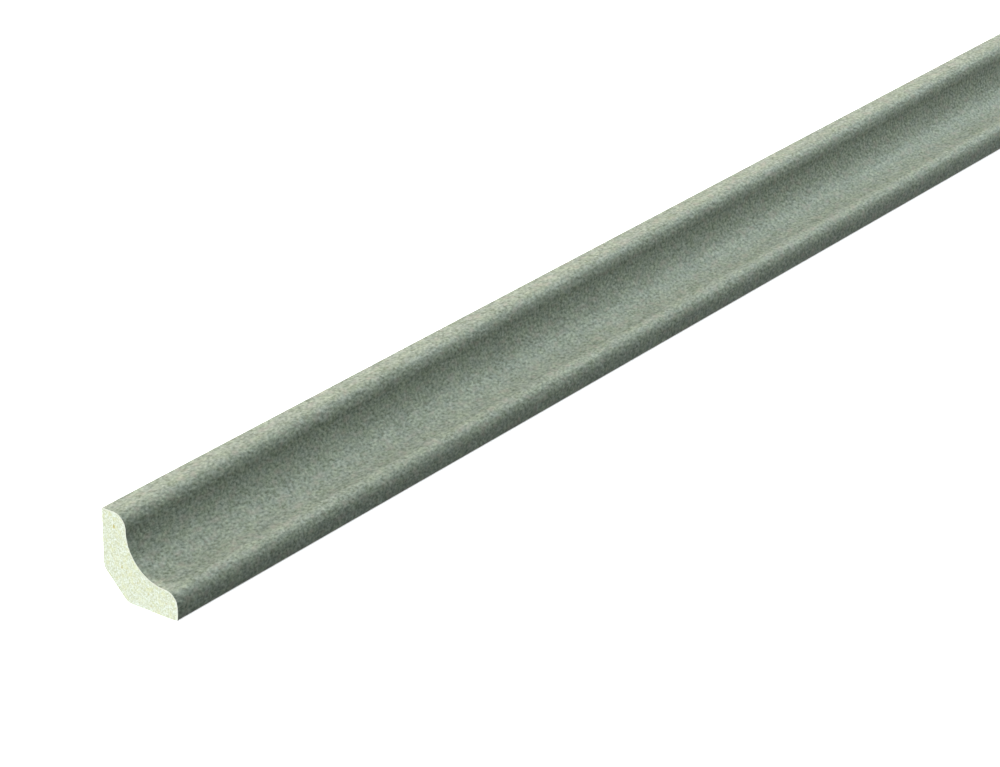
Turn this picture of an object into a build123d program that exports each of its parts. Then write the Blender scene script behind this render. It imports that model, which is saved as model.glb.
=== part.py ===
"""Scotia moulding: a long concave trim that covers the gap where a floor meets a wall.

It has two pieces. The core is a fibreboard bar with one constant section. The decor foil is a
printed skin, glued round the visible front of the core.

The section has a flat wall face and a flat floor face at right angles. Their shared back corner is
cut away, so that the bar clears plaster or glue in the corner of the room. The front is a hollow
cove between two rounded noses, and it is the same above and below the line that halves the corner.
Only the arris at the floor is eased, and the foil is wrapped round it as far as the floor lets it.

Frame, in millimetres: X runs along the bar, +Y points to the wall, -Y to the room, +Z up.
The origin is at floor level, halfway along the bar and midway between wall face and front nose.
"""

from build123d import *
from math import asin, degrees
import os

# Stock size
LENGTH = 2400.0
LEG = 17.0  # width of the floor side and height of the wall side

# Front profile, at the finished surface
LIP_THICKNESS = 5.45  # wall face to the neck below the upper nose, and floor face to the lower neck
NOSE_RADIUS = 2.8
NECK_STRAIGHT = 0.2  # short flat between a nose and the cove
FLOOR_ARRIS = 1.0  # radius where the front of the lower nose turns under to the floor face

# Back corner
BACK_CHAMFER = 5.4  # what the cut takes off each leg
CHAMFER_EASING = 2.2  # radius where the cut meets the wall face and the floor face

# Decor foil
FOIL_THICKNESS = 0.2
FOIL_TRIM = 0.1  # how far the foil's edges stop short of the wall plane and the floor plane

# The core's own arris touches the floor, and the foil lies on it until it is trimmed off
ARRIS_AXIS = (LEG - FLOOR_ARRIS, FLOOR_ARRIS - FOIL_THICKNESS)
FOIL_WRAP = degrees(asin((ARRIS_AXIS[1] - FOIL_TRIM) / FLOOR_ARRIS))

# The cove takes up what the lip, the neck and the nose leave of a leg
COVE_RADIUS = LEG - LIP_THICKNESS - NECK_STRAIGHT - NOSE_RADIUS

# The section is drawn with its first coordinate out from the wall and its second up from the floor.
# This plane puts it on the bar's mid-length, with the wall at +Y.
SECTION_PLANE = Plane(origin=(0, LEG / 2, 0), x_dir=(0, -1, 0), z_dir=(-1, 0, 0))


def front_profile(inset, edge_setback, arris_turn):
    """Edges of the front from the wall side down to the floor arris, set in from the finished surface."""
    nose_axis = LIP_THICKNESS - NOSE_RADIUS
    nose_height = LEG - NOSE_RADIUS
    cove_axis = LIP_THICKNESS + COVE_RADIUS
    face = LEG - inset
    neck = LIP_THICKNESS - inset
    nose_arc = NOSE_RADIUS - inset
    cove_arc = COVE_RADIUS + inset
    return [
        Line((edge_setback, face), (nose_axis, face)),
        CenterArc((nose_axis, nose_height), nose_arc, 90, -90),
        Line((neck, nose_height), (neck, cove_axis)),
        CenterArc((cove_axis, cove_axis), cove_arc, 180, 90),
        Line((cove_axis, neck), (nose_height, neck)),
        CenterArc((nose_height, nose_axis), nose_arc, 90, -90),
        Line((face, nose_axis), (face, ARRIS_AXIS[1])),
        CenterArc(ARRIS_AXIS, FLOOR_ARRIS - inset, 0, -arris_turn),
    ]


def along_the_bar(section):
    """Extrudes a section half the stock length each way from the middle."""
    return extrude(SECTION_PLANE * section, LENGTH / 2, both=True)


def core():
    """Fibreboard bar, smaller than the finished section by the foil on its front."""
    front = front_profile(FOIL_THICKNESS, 0, 90)
    cut_ends = [(BACK_CHAMFER, 0), (0, BACK_CHAMFER)]
    back = Polyline(front[-1] @ 1, *cut_ends, front[0] @ 0)
    section = make_face([*front, *back.edges()])
    corners = [section.vertices().sort_by_distance(end)[0] for end in cut_ends]
    return along_the_bar(fillet(corners, CHAMFER_EASING))


def decor_foil():
    """Printed skin of even thickness that follows the noses and the cove and turns under at the floor."""
    outside = front_profile(0, FOIL_TRIM, FOIL_WRAP)
    inside = front_profile(FOIL_THICKNESS, FOIL_TRIM, FOIL_WRAP)
    wall_edge = Line(inside[0] @ 0, outside[0] @ 0)
    floor_edge = Line(outside[-1] @ 1, inside[-1] @ 1)
    return along_the_bar(make_face([*outside, floor_edge, *inside, wall_edge]))


os.makedirs("parts", exist_ok=True)
for name, solid in {"core": core(), "decor_foil": decor_foil()}.items():
    export_step(solid, f"parts/{name}.step")
    print(name, f"{solid.volume:.1f} mm3")
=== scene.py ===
"""Scotia moulding: a pale fibreboard bar with a printed stone decor foil glued round its front."""

import math

import bmesh
import bpy
from mathutils import Matrix, Vector


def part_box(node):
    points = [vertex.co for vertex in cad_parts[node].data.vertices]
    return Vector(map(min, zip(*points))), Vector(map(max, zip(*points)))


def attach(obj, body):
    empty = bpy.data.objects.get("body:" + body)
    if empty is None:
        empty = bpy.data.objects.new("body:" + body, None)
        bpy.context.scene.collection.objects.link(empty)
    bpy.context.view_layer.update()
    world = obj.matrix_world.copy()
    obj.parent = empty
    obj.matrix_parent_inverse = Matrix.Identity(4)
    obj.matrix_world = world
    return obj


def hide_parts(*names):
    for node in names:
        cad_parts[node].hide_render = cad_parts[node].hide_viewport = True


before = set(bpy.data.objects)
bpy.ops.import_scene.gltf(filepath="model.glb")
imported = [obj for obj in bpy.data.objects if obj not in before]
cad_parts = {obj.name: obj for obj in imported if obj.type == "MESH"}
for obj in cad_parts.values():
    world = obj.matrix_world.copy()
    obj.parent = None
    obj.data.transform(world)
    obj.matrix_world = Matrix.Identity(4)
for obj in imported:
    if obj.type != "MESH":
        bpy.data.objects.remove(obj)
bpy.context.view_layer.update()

MM = 0.001

# Sizes that the frame gives, in metres
core_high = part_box("core")[1]
foil_low, foil_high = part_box("decor_foil")
HALF_LENGTH = foil_high.x
WALL = core_high.y  # plane of the wall face
ROOM = foil_low.y  # plane of the front of the lower nose
TOP = foil_high.z
FOIL_THICKNESS = foil_high.z - core_high.z
FOIL_TRIM = foil_low.z  # how far the foil stops short of the wall plane and the floor plane

# Front profile at the finished surface, as in the part's drawing
LIP_THICKNESS = 5.45 * MM
NOSE_RADIUS = 2.8 * MM
NECK_STRAIGHT = 0.2 * MM
COVE_RADIUS = TOP - LIP_THICKNESS - NECK_STRAIGHT - NOSE_RADIUS
NOSE_AXIS_Y = WALL - LIP_THICKNESS + NOSE_RADIUS  # axis of the upper nose
FLOOR_ARRIS = 1 * MM  # eased arris under the lower nose
ARRIS_HEIGHT = FLOOR_ARRIS - FOIL_THICKNESS  # of its axis: the core's own arris touches the floor
FOIL_WRAP = math.degrees(math.asin((ARRIS_HEIGHT - FOIL_TRIM) / FLOOR_ARRIS))

# The cut-away corner at the back
BACK_CHAMFER = 5.4 * MM
CHAMFER_EASING = 2.2 * MM  # radius of its two eased edges
CHAMFER_TURN = 45  # degrees that each of them turns through

# How finely the meshes are cut
NOSE_STEPS = 20
COVE_STEPS = 40
ARRIS_STEPS = 8
EASING_STEPS = 8
BAY_LENGTH = 100 * MM  # the bar's long faces are cut across at this spacing
SAW_GRID = 0.16 * MM  # the grid on the cut ends, a little over half the width of a fibre bundle
TOUCHING = 0.001 * MM  # closer than this, two points are one
SHARPEST_CURVE = 30  # degrees between faces: anything sharper is an arris

# Patterns of the print. Each noise is named with the size of its cells.
GRAIN = 0.48 * MM
FLECK = 1.5 * MM
TINT = 1.6 * MM  # a drift between a cooler and a yellower grey
CLOUD = 6 * MM
PEEL = 0.8 * MM
GRAIN_STRETCH = (1.5, 1, 1)  # the print is drawn out a little along the bar
TINT_STRETCH = (1.6, 1, 1)
PEEL_HEIGHT = 0.12 * MM  # orange peel of the lacquer
EMBOSS_HEIGHT = 0.13 * MM  # the foil's fine embossing, which follows the printed grain

# Patterns of the board
FIBRE_BUNDLE = 0.28 * MM
PULP_FIBRE = 0.3 * MM  # of the foil's base paper
RESIN = 0.9 * MM
STREAK = 0.7 * MM
STREAK_STRETCH = (60, 1, 1)  # the cutters' streaks run along the bar
SAW_RELIEF = 0.035 * MM  # how deep the saw tears fibres out of a cut end
SAWN_HEIGHT = 0.03 * MM  # finer roughness of the sawn board
PLANED_HEIGHT = 0.02 * MM  # roughness of the machined board

# Flecks of bark or resin that show on the near cut end, in millimetres:
# out from the wall, up from the floor, width, height and how dark, from 0 to 1
BARK_FLECKS = (
    (2.7, 14.1, 0.5, 1.0, 0.9),
    (4.25, 6.6, 0.45, 0.9, 0.6),
    (2.5, 7.7, 0.5, 0.5, 0.35),
    (3.4, 8.7, 0.4, 0.6, 0.4),
    (3.1, 11.3, 0.4, 0.5, 0.35),
    (5.3, 6.0, 0.4, 0.5, 0.35),
    (7.9, 4.7, 0.35, 0.35, 0.5),
    (6.8, 4.2, 0.35, 0.35, 0.4),
    (10.3, 3.3, 0.5, 0.5, 0.45),
    (14.4, 2.75, 0.5, 0.5, 0.4),
    (10.8, 1.0, 0.9, 0.5, 0.4),
    (16.2, 1.0, 0.4, 0.4, 0.3),
)
FLECK_HEART = 0.2  # a bark fleck is at its darkest inside this part of its size
FLECK_EDGE = 0.6  # and has faded away here

# How much of a noise is used: nearly all of its values lie in the first, most in the second
NOISE_SPAN = (0.25, 0.75)
NOISE_BODY = (0.3, 0.7)

# Camera of the photograph, from its long edges and the outline of the cut end, in degrees
CAMERA_AROUND = -53.38  # from the room side towards the near end
CAMERA_ABOVE = 24.97
CAMERA_ROLL = 0.51
CAMERA_RIGHT = 62.51 * MM  # how far the line of sight passes the near end's middle
CAMERA_UP = 31.43 * MM
CAMERA_DISTANCE = 633 * MM
CAMERA_LENS = 131.33
CAMERA_SENSOR = 36
CAMERA_NEAREST = 10 * MM

# Studio
WHITE = (1, 1, 1, 1)
FLOOR_WIDTH = 160  # metres, so that the floor's edge never shows
FLOOR_GLOW = 0.8  # the floor's own light to the eye, which leaves only a faint shadow
FLOOR_SHADOW = 0.9  # how white the floor is to the eye where the lamps light it
FLOOR_BOUNCE = 0.04  # how much light it sends back up
ROOM_LIGHT = 0.045  # weak light from all round
ROOM_COLOUR = (0.3, 1, 1, 1)  # cool, which is how the shaded faces look

# Each lamp's lean from overhead to the room side and its swing towards the near end, in degrees,
# its strength, its spread in degrees, its colour and whether it gives a sheen
LAMPS = (
    ("wall_side_lamp", -43.5, 10, 1.68, 7, (0.98, 1, 0.97), True),
    ("overhead_lamp", -5, 30, 1.13, 35, (1.02, 1, 0.98), True),
    ("far_end_lamp", 18, -55, 1.44, 20, (0.74, 1, 1.03), True),
    ("near_cut_lamp", 0, 89, 3.26, 4, (0.97, 1, 0.98), False),
    ("far_cut_lamp", 0, -89, 2.3, 4, (1.12, 1, 0.94), False),
    ("back_lamp", -90, 0, 1.5, 4, (1, 1, 0.97), False),
)


def select_only(obj):
    """Leaves this object alone selected and active."""
    bpy.ops.object.select_all(action="DESELECT")
    obj.select_set(True)
    bpy.context.view_layer.objects.active = obj


def pick(obj, kind, test):
    """In edit mode, selects only the edges or the faces whose corners all pass the test."""
    mode = {"edges": "EDGE", "faces": "FACE"}[kind]
    bpy.ops.mesh.select_mode(type=mode)
    bpy.ops.mesh.select_all(action="DESELECT")
    mesh = bmesh.from_edit_mesh(obj.data)
    for element in getattr(mesh, kind):
        if all(test(corner.co) for corner in element.verts):
            element.select_set(True)
    mesh.select_flush_mode()
    bmesh.update_edit_mesh(obj.data)


def start_strip(name, wall_edge, nose_axis, height):
    """A flat strip along the bar, from the wall side to the upper nose, with its front edge picked."""
    bpy.ops.object.select_all(action="DESELECT")
    bpy.ops.mesh.primitive_plane_add(size=1)
    strip = bpy.context.object
    strip.name = strip.data.name = name
    bpy.ops.object.mode_set(mode="EDIT")
    bpy.ops.transform.resize(value=(2 * HALF_LENGTH, wall_edge - nose_axis, 1))
    bpy.ops.transform.translate(value=(0, (wall_edge + nose_axis) / 2, height))
    pick(strip, "edges", lambda co: abs(co.y - nose_axis) < TOUCHING)
    return strip


def run(out_from_wall, up):
    """Draws the picked edge out along a straight stretch of the profile."""
    move = {"value": (0, -out_from_wall, up)}
    bpy.ops.mesh.extrude_edges_move(TRANSFORM_OT_translate=move)


def turn(axis_y, axis_z, degrees, steps):
    """Swings the picked edge round an axis along the bar. Positive turns from up towards the room."""
    angle = -math.radians(degrees)  # the spin operator counts the other way
    bpy.ops.mesh.spin(steps=steps, angle=angle, center=(0, axis_y, axis_z), axis=(1, 0, 0))


def run_front(arris_turn):
    """Carries the picked edge over the upper nose, through the cove and round the floor arris."""
    turn(NOSE_AXIS_Y, TOP - NOSE_RADIUS, 90, NOSE_STEPS)
    run(0, -NECK_STRAIGHT)
    turn(WALL - LIP_THICKNESS - COVE_RADIUS, LIP_THICKNESS + COVE_RADIUS, -90, COVE_STEPS)
    run(NECK_STRAIGHT, 0)
    turn(ROOM + NOSE_RADIUS, LIP_THICKNESS - NOSE_RADIUS, 90, NOSE_STEPS)
    run(0, ARRIS_HEIGHT - (LIP_THICKNESS - NOSE_RADIUS))
    turn(ROOM + FLOOR_ARRIS, ARRIS_HEIGHT, arris_turn, ARRIS_STEPS)


def run_back():
    """Carries the picked edge under the bar, over the cut-away corner and up the wall face."""
    turned = math.radians(CHAMFER_TURN)
    along = CHAMFER_EASING * math.sin(turned)  # how far an easing runs on beside the flat it leaves
    rise = CHAMFER_EASING * (1 - math.cos(turned))  # and how far it rises from that flat
    flat_start = BACK_CHAMFER + CHAMFER_EASING * math.tan(turned / 2)
    run(-(WALL - ROOM - FLOOR_ARRIS - flat_start), 0)
    turn(WALL - flat_start, CHAMFER_EASING, CHAMFER_TURN, EASING_STEPS)
    cut = flat_start - along - rise
    run(-cut, cut)
    turn(WALL - CHAMFER_EASING, flat_start, CHAMFER_TURN, EASING_STEPS)
    run(0, TOP - FOIL_THICKNESS - flat_start)


def cut_into_bays():
    """Cuts all the long faces across, so that none is a thin sliver the whole length of the bar."""
    bays = round(2 * HALF_LENGTH / BAY_LENGTH)
    for i in range(1, bays):
        bpy.ops.mesh.select_all(action="SELECT")
        across = -HALF_LENGTH + i * 2 * HALF_LENGTH / bays
        bpy.ops.mesh.bisect(plane_co=(across, 0, 0), plane_no=(1, 0, 0))


def on_a_cut_end(co):
    """Whether a point lies in the plane of either cut end."""
    return HALF_LENGTH - abs(co.x) < TOUCHING


def apply_modifier(obj, kind, **settings):
    """Adds a modifier with its settings and applies it."""
    select_only(obj)
    modifier = obj.modifiers.new(kind.title(), kind)
    for name, value in settings.items():
        setattr(modifier, name, value)
    bpy.ops.object.modifier_apply(modifier=modifier.name)


def smooth(obj):
    """Smooth curves with sharp arrises."""
    select_only(obj)
    bpy.ops.object.shade_smooth_by_angle(angle=math.radians(SHARPEST_CURVE))


def make_foil(printed_side, base_paper):
    """The foil: its printed side is run like a moulding and then given its thickness inwards."""
    foil = start_strip("stone_decor_foil", WALL - FOIL_TRIM, NOSE_AXIS_Y, TOP)
    run_front(FOIL_WRAP)
    cut_into_bays()
    bpy.ops.object.mode_set(mode="OBJECT")
    foil.data.materials.append(printed_side)
    foil.data.materials.append(base_paper)
    apply_modifier(
        foil, "SOLIDIFY", thickness=FOIL_THICKNESS, offset=-1, use_even_offset=True,
        material_offset=1, material_offset_rim=1,
    )
    smooth(foil)
    return foil


def grid_the_cut_ends(core):
    """Cuts both end faces into a fine grid, so that the saw's work on them can be modelled."""
    for axis, low, high in ((1, ROOM, WALL), (2, 0, TOP)):
        lines = math.ceil((high - low) / SAW_GRID)
        for i in range(1, lines):
            pick(core, "faces", on_a_cut_end)
            place = [0, 0, 0]
            place[axis] = low + i * (high - low) / lines
            way = [0, 0, 0]
            way[axis] = 1
            bpy.ops.mesh.bisect(plane_co=place, plane_no=way)


def tear_out_fibres(core):
    """Sinks the end faces a little, unevenly, and leaves their outlines where they are."""
    mesh = core.data
    rim = set()
    for face in mesh.polygons:
        if not all(on_a_cut_end(mesh.vertices[i].co) for i in face.vertices):
            rim.update(face.vertices)
    inside = [v.index for v in mesh.vertices if on_a_cut_end(v.co) and v.index not in rim]
    core.vertex_groups.new(name="cut_face").add(inside, 1, "REPLACE")
    torn = bpy.data.textures.new("torn_fibre", "CLOUDS")
    torn.noise_scale = FIBRE_BUNDLE
    torn.noise_depth = 2
    apply_modifier(
        core, "DISPLACE", texture=torn, texture_coords="LOCAL", direction="NORMAL",
        vertex_group="cut_face", mid_level=1, strength=SAW_RELIEF,
    )


def make_core(machined_face, cut_end):
    """The bar: the same front, set in by the foil, carried on round the back and closed at its ends."""
    core = start_strip("fibreboard_core", WALL, NOSE_AXIS_Y, TOP - FOIL_THICKNESS)
    run_front(90)
    run_back()
    bpy.ops.mesh.select_all(action="SELECT")
    bpy.ops.mesh.remove_doubles(threshold=TOUCHING)
    cut_into_bays()
    for side in (-1, 1):
        pick(core, "edges", lambda co: abs(co.x - side * HALF_LENGTH) < TOUCHING)
        bpy.ops.mesh.edge_face_add()
    bpy.ops.mesh.select_all(action="SELECT")
    bpy.ops.mesh.normals_make_consistent(inside=False)
    grid_the_cut_ends(core)
    bpy.ops.object.mode_set(mode="OBJECT")
    core.data.materials.append(machined_face)
    core.data.materials.append(cut_end)
    corner = core.data.vertices
    for face in core.data.polygons:
        face.material_index = int(all(on_a_cut_end(corner[i].co) for i in face.vertices))
    tear_out_fibres(core)
    smooth(core)
    return core


def linear(hex_colour):
    """The linear colour of an sRGB hex value."""
    channels = [int(hex_colour[i:i + 2], 16) / 255 for i in (1, 3, 5)]
    return [c / 12.92 if c <= 0.04045 else ((c + 0.055) / 1.055) ** 2.4 for c in channels] + [1]


def node(tree, kind, inputs=None, take=None, **settings):
    """Adds a node with its settings, and gives its first output or the one that take names.

    An input is named, or numbered where two have the same name. It is a plain value or the output
    of another node, which is linked to it.
    """
    new = tree.nodes.new("ShaderNode" + kind)
    for name, value in settings.items():
        setattr(new, name, value)
    for name, value in (inputs or {}).items():
        named = [s for s in new.inputs if s.name == name and s.enabled]
        socket = named[0] if named else new.inputs[name]
        if isinstance(value, bpy.types.NodeSocket):
            tree.links.new(value, socket)
        else:
            socket.default_value = value
    return next((s for s in new.outputs if s.enabled and take in (None, s.name)), None)


def start_material(name):
    """A new material and its node tree, which is empty."""
    material = bpy.data.materials.new(name)
    material.use_nodes = True
    material.node_tree.nodes.clear()
    return material, material.node_tree


def finish_material(tree, **inputs):
    """Gives a material its surface. An input's name has underscores for its spaces."""
    named = {name.replace("_", " "): value for name, value in inputs.items()}
    node(tree, "OutputMaterial", {"Surface": node(tree, "BsdfPrincipled", named)})


def noise(tree, cell, stretch=(1, 1, 1), detail=1, roughness=0.5):
    """Noise with cells of this size on the object, drawn out along each axis by its stretch."""
    place = node(tree, "TexCoord", take="Object")
    millimetres = node(tree, "Mapping", {"Vector": place, "Scale": [1 / (MM * s) for s in stretch]})
    return node(tree, "TexNoise", {
        "Vector": millimetres, "Scale": MM / cell, "Detail": detail, "Roughness": roughness,
    })


def remap(tree, value, span, onto=(0, 1), **settings):
    """A value brought from one span onto another, and held inside it."""
    return node(tree, "MapRange", {
        "Value": value, "From Min": span[0], "From Max": span[1], "To Min": onto[0], "To Max": onto[1],
    }, **settings)


def blend(tree, factor, first, second, **settings):
    """One colour gives way to the other as the factor rises."""
    return node(tree, "Mix", {"Factor": factor, "A": first, "B": second}, data_type="RGBA", **settings)


def bump(tree, height, distance, **inputs):
    """A fine relief of the surface, this deep."""
    return node(tree, "Bump", {"Height": height, "Strength": 1, "Distance": distance, **inputs})


def printed_decor_paper():
    """Decor paper: printed with a fine stone grain, embossed, wrapped round the bar and lacquered matt.

    It gives the eye a grey-green face with grains of under half a millimetre, warm beige flecks of
    one or two millimetres and soft clouds, over the faint relief of the embossing and the lacquer.
    """
    material, tree = start_material("printed_stone_decor_paper")
    grain = noise(tree, GRAIN, GRAIN_STRETCH)
    ground = blend(tree, remap(tree, grain, NOISE_SPAN), linear("#8B8E7D"), linear("#D1D1C1"))
    tint = remap(tree, noise(tree, TINT, TINT_STRETCH), NOISE_BODY)
    drift = blend(tree, tint, linear("#FDFCFE"), linear("#FDFEF5"))
    tinted = blend(tree, 1, ground, drift, blend_type="MULTIPLY")
    cloud = remap(tree, noise(tree, CLOUD), NOISE_BODY, (0.95, 1.05))
    toned = blend(tree, 1, tinted, cloud, blend_type="MULTIPLY")
    fleck = remap(
        tree, noise(tree, FLECK, GRAIN_STRETCH), (0.5, 0.78), (0, 0.45), interpolation_type="SMOOTHSTEP",
    )
    lacquer = bump(tree, noise(tree, PEEL, detail=0), PEEL_HEIGHT)
    finish_material(
        tree,
        Base_Color=blend(tree, fleck, toned, linear("#CDBDB0")),
        Roughness=remap(tree, grain, (0, 1), (0.56, 0.46)),
        Specular_IOR_Level=0.2,
        Normal=bump(tree, grain, EMBOSS_HEIGHT, Normal=lacquer),
    )
    return material


def decor_base_paper():
    """Decor base paper: bleached pulp, seen where the foil is cut and on its glued side.

    It gives the eye a near-white line along the cut end, very slightly fibrous.
    """
    material, tree = start_material("bleached_decor_base_paper")
    colour = blend(tree, noise(tree, PULP_FIBRE), linear("#E6E8DA"), linear("#F2F3E8"))
    finish_material(tree, Base_Color=colour, Roughness=0.9)
    return material


def bark_fleck_mask(tree, out, up, wide, high, strength):
    """The fleck's strength at its heart, and 0 beyond its edge."""
    centre = (-HALF_LENGTH, WALL - out * MM, up * MM)
    size = (wide * MM, wide * MM, high * MM)
    near = node(tree, "Mapping", {
        "Vector": node(tree, "TexCoord", take="Object"),
        "Location": [-c / s for c, s in zip(centre, size)],
        "Scale": [1 / s for s in size],
    })
    distance = node(tree, "VectorMath", {0: near}, operation="LENGTH")
    return remap(
        tree, distance, (FLECK_HEART, FLECK_EDGE), (strength, 0), interpolation_type="SMOOTHSTEP",
    )


def sawn_fibreboard():
    """Fibreboard cut across by a fine saw.

    It gives the eye a pale cream face with a speckle of cut fibre bundles of under a third of a
    millimetre, faint patches of resin and a few yellow-brown flecks of bark.
    """
    material, tree = start_material("sawn_pale_fibreboard")
    fibre = noise(tree, FIBRE_BUNDLE, roughness=0.6)
    speckle = remap(tree, fibre, NOISE_SPAN)
    resin = remap(
        tree, noise(tree, RESIN), (0.45, 0.75), (0, 0.42), interpolation_type="SMOOTHSTEP",
    )
    colour = blend(tree, speckle, linear("#C3C6A2"), linear("#F1F7F1"))
    colour = blend(tree, resin, colour, linear("#DCDCA8"))
    for fleck in BARK_FLECKS:
        colour = blend(tree, bark_fleck_mask(tree, *fleck), colour, linear("#BDB050"))
    finish_material(
        tree,
        Base_Color=colour,
        Roughness=0.9,
        Specular_IOR_Level=0.2,
        Normal=bump(tree, fibre, SAWN_HEIGHT),
    )
    return material


def machined_fibreboard():
    """Fibreboard planed by the moulder's cutters as the bar ran through.

    It gives the eye a smoother cream face with faint streaks along the bar.
    """
    material, tree = start_material("machined_pale_fibreboard")
    fibre = noise(tree, 2 * FIBRE_BUNDLE, detail=2, roughness=0.6)
    streak = noise(tree, STREAK, STREAK_STRETCH, detail=2, roughness=0.6)
    both = node(tree, "Mix", {"Factor": 0.5, "A": fibre, "B": streak})
    finish_material(
        tree,
        Base_Color=blend(tree, both, linear("#CFD3B2"), linear("#F1F3DC")),
        Roughness=0.85,
        Specular_IOR_Level=0.3,
        Normal=bump(tree, both, PLANED_HEIGHT),
    )
    return material


def dress(piece, stands_for):
    """Hangs a finished piece on the bar's body, in place of its plain solid."""
    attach(piece, "root")
    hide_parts(stands_for)


dress(make_core(machined_fibreboard(), sawn_fibreboard()), "core")
dress(make_foil(printed_decor_paper(), decor_base_paper()), "decor_foil")


def seen_by_eye(tree):
    """1 where a ray shows what it meets, to the camera or in a reflection, and 0 where it only lights."""
    camera = node(tree, "LightPath", take="Is Camera Ray")
    glossy = node(tree, "LightPath", take="Is Glossy Ray")
    through = node(tree, "LightPath", take="Is Transmission Ray")
    either = node(tree, "Math", {0: camera, 1: glossy}, operation="MAXIMUM")
    return node(tree, "Math", {0: either, 1: through}, operation="MAXIMUM")


def lay_floor():
    """A very large white floor, which keeps a faint shadow and sends little light back up."""
    bpy.ops.object.select_all(action="DESELECT")
    bpy.ops.mesh.primitive_plane_add(size=FLOOR_WIDTH)
    floor = bpy.context.object
    floor.name = "floor"
    material, tree = start_material("white_studio_floor")
    unseen = node(tree, "BsdfDiffuse", {"Color": [FLOOR_BOUNCE] * 3 + [1]})
    lit = node(tree, "BsdfDiffuse", {"Color": [FLOOR_SHADOW] * 3 + [1]})
    glow = node(tree, "Emission", {"Color": WHITE, "Strength": FLOOR_GLOW})
    seen = node(tree, "AddShader", {0: lit, 1: glow})
    surface = node(tree, "MixShader", {0: seen_by_eye(tree), 1: unseen, 2: seen})
    node(tree, "OutputMaterial", {"Surface": surface})
    floor.data.materials.append(material)


def hang_lamp(name, lean, swing, strength, spread, colour, mirrored):
    """A soft distant lamp. A lamp that isn't mirrored gives no sheen, so it can graze the long faces."""
    lamp = bpy.data.lights.new(name, "SUN")
    lamp.energy = strength
    lamp.angle = math.radians(spread)
    lamp.color = colour
    lean = math.radians(lean)
    swing = math.radians(swing)
    towards = Vector((
        -math.sin(swing), -math.sin(lean) * math.cos(swing), math.cos(lean) * math.cos(swing),
    ))
    holder = bpy.data.objects.new(name, lamp)
    holder.visible_glossy = mirrored
    holder.rotation_euler = towards.to_track_quat("Z", "Y").to_euler()
    bpy.context.scene.collection.objects.link(holder)


def light_room():
    """White all round to the eye, and a weak light from everywhere."""
    world = bpy.data.worlds.new("white_studio")
    bpy.context.scene.world = world
    world.use_nodes = True
    tree = world.node_tree
    tree.nodes.clear()
    dim = node(tree, "Background", {"Color": ROOM_COLOUR, "Strength": ROOM_LIGHT})
    white = node(tree, "Background", {"Color": WHITE, "Strength": 1})
    surface = node(tree, "MixShader", {0: seen_by_eye(tree), 1: dim, 2: white})
    node(tree, "OutputWorld", {"Surface": surface})


def place_camera():
    """The camera looks down along the bar from beyond its near end, on the room side."""
    around = math.radians(CAMERA_AROUND)
    above = math.radians(CAMERA_ABOVE)
    roll = math.radians(CAMERA_ROLL)
    back = Vector((
        math.sin(around) * math.cos(above), -math.cos(around) * math.cos(above), math.sin(above),
    ))
    level = Vector((math.cos(around), math.sin(around), 0))
    upright = back.cross(level)
    right = math.cos(roll) * level + math.sin(roll) * upright
    up = math.cos(roll) * upright - math.sin(roll) * level
    near_end = Vector((-HALF_LENGTH, 0, TOP / 2))
    place = near_end + CAMERA_RIGHT * right + CAMERA_UP * up + CAMERA_DISTANCE * back
    camera = bpy.data.cameras.new("camera")
    camera.lens = CAMERA_LENS
    camera.sensor_width = CAMERA_SENSOR
    camera.sensor_fit = "HORIZONTAL"
    camera.clip_start = CAMERA_NEAREST
    camera.clip_end = FLOOR_WIDTH
    holder = bpy.data.objects.new("camera", camera)
    holder.matrix_world = Matrix.Translation(place) @ Matrix((right, up, back)).transposed().to_4x4()
    bpy.context.scene.collection.objects.link(holder)
    bpy.context.scene.camera = holder


lay_floor()
for lamp_settings in LAMPS:
    hang_lamp(*lamp_settings)
light_room()
place_camera()
bpy.context.scene.view_settings.view_transform = "Standard"
